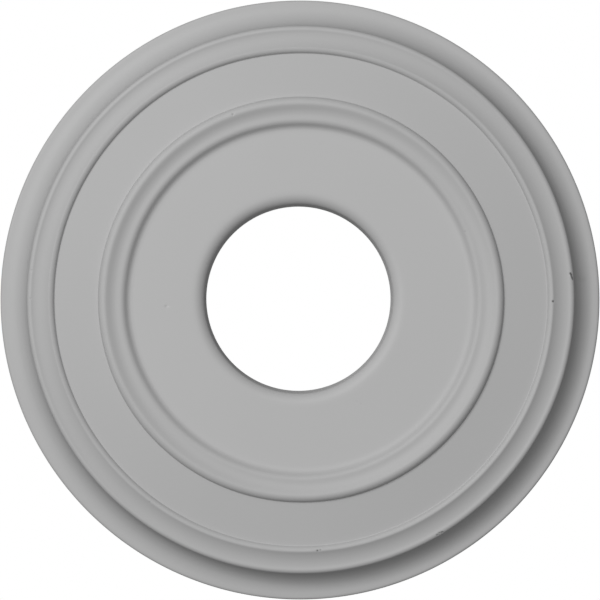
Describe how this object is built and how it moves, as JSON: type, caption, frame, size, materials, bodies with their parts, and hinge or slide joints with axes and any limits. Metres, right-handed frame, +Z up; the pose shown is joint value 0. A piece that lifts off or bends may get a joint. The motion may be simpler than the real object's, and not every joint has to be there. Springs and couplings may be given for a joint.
{
  "type": "ceiling rose",
  "caption": "Round ceiling rose with a stepped, turned face of coves and a bead, a flat seat for a light fitting's canopy and a plain central hole.",
  "frame": {"origin": "centre of the hole in the plane of the back, which lies against the ceiling", "axes": "+Z up along the axis of the turning, into the ceiling; the moulded face looks down, towards -Z"},
  "size_m": [0.3302, 0.3302, 0.0254],
  "materials": {
    "primed_foam": "smooth matt grey-white primer on moulded high-density foam"
  },
  "bodies": {
    "root": {"ceiling_rose": "primed_foam"}
  },
  "joints": []
}
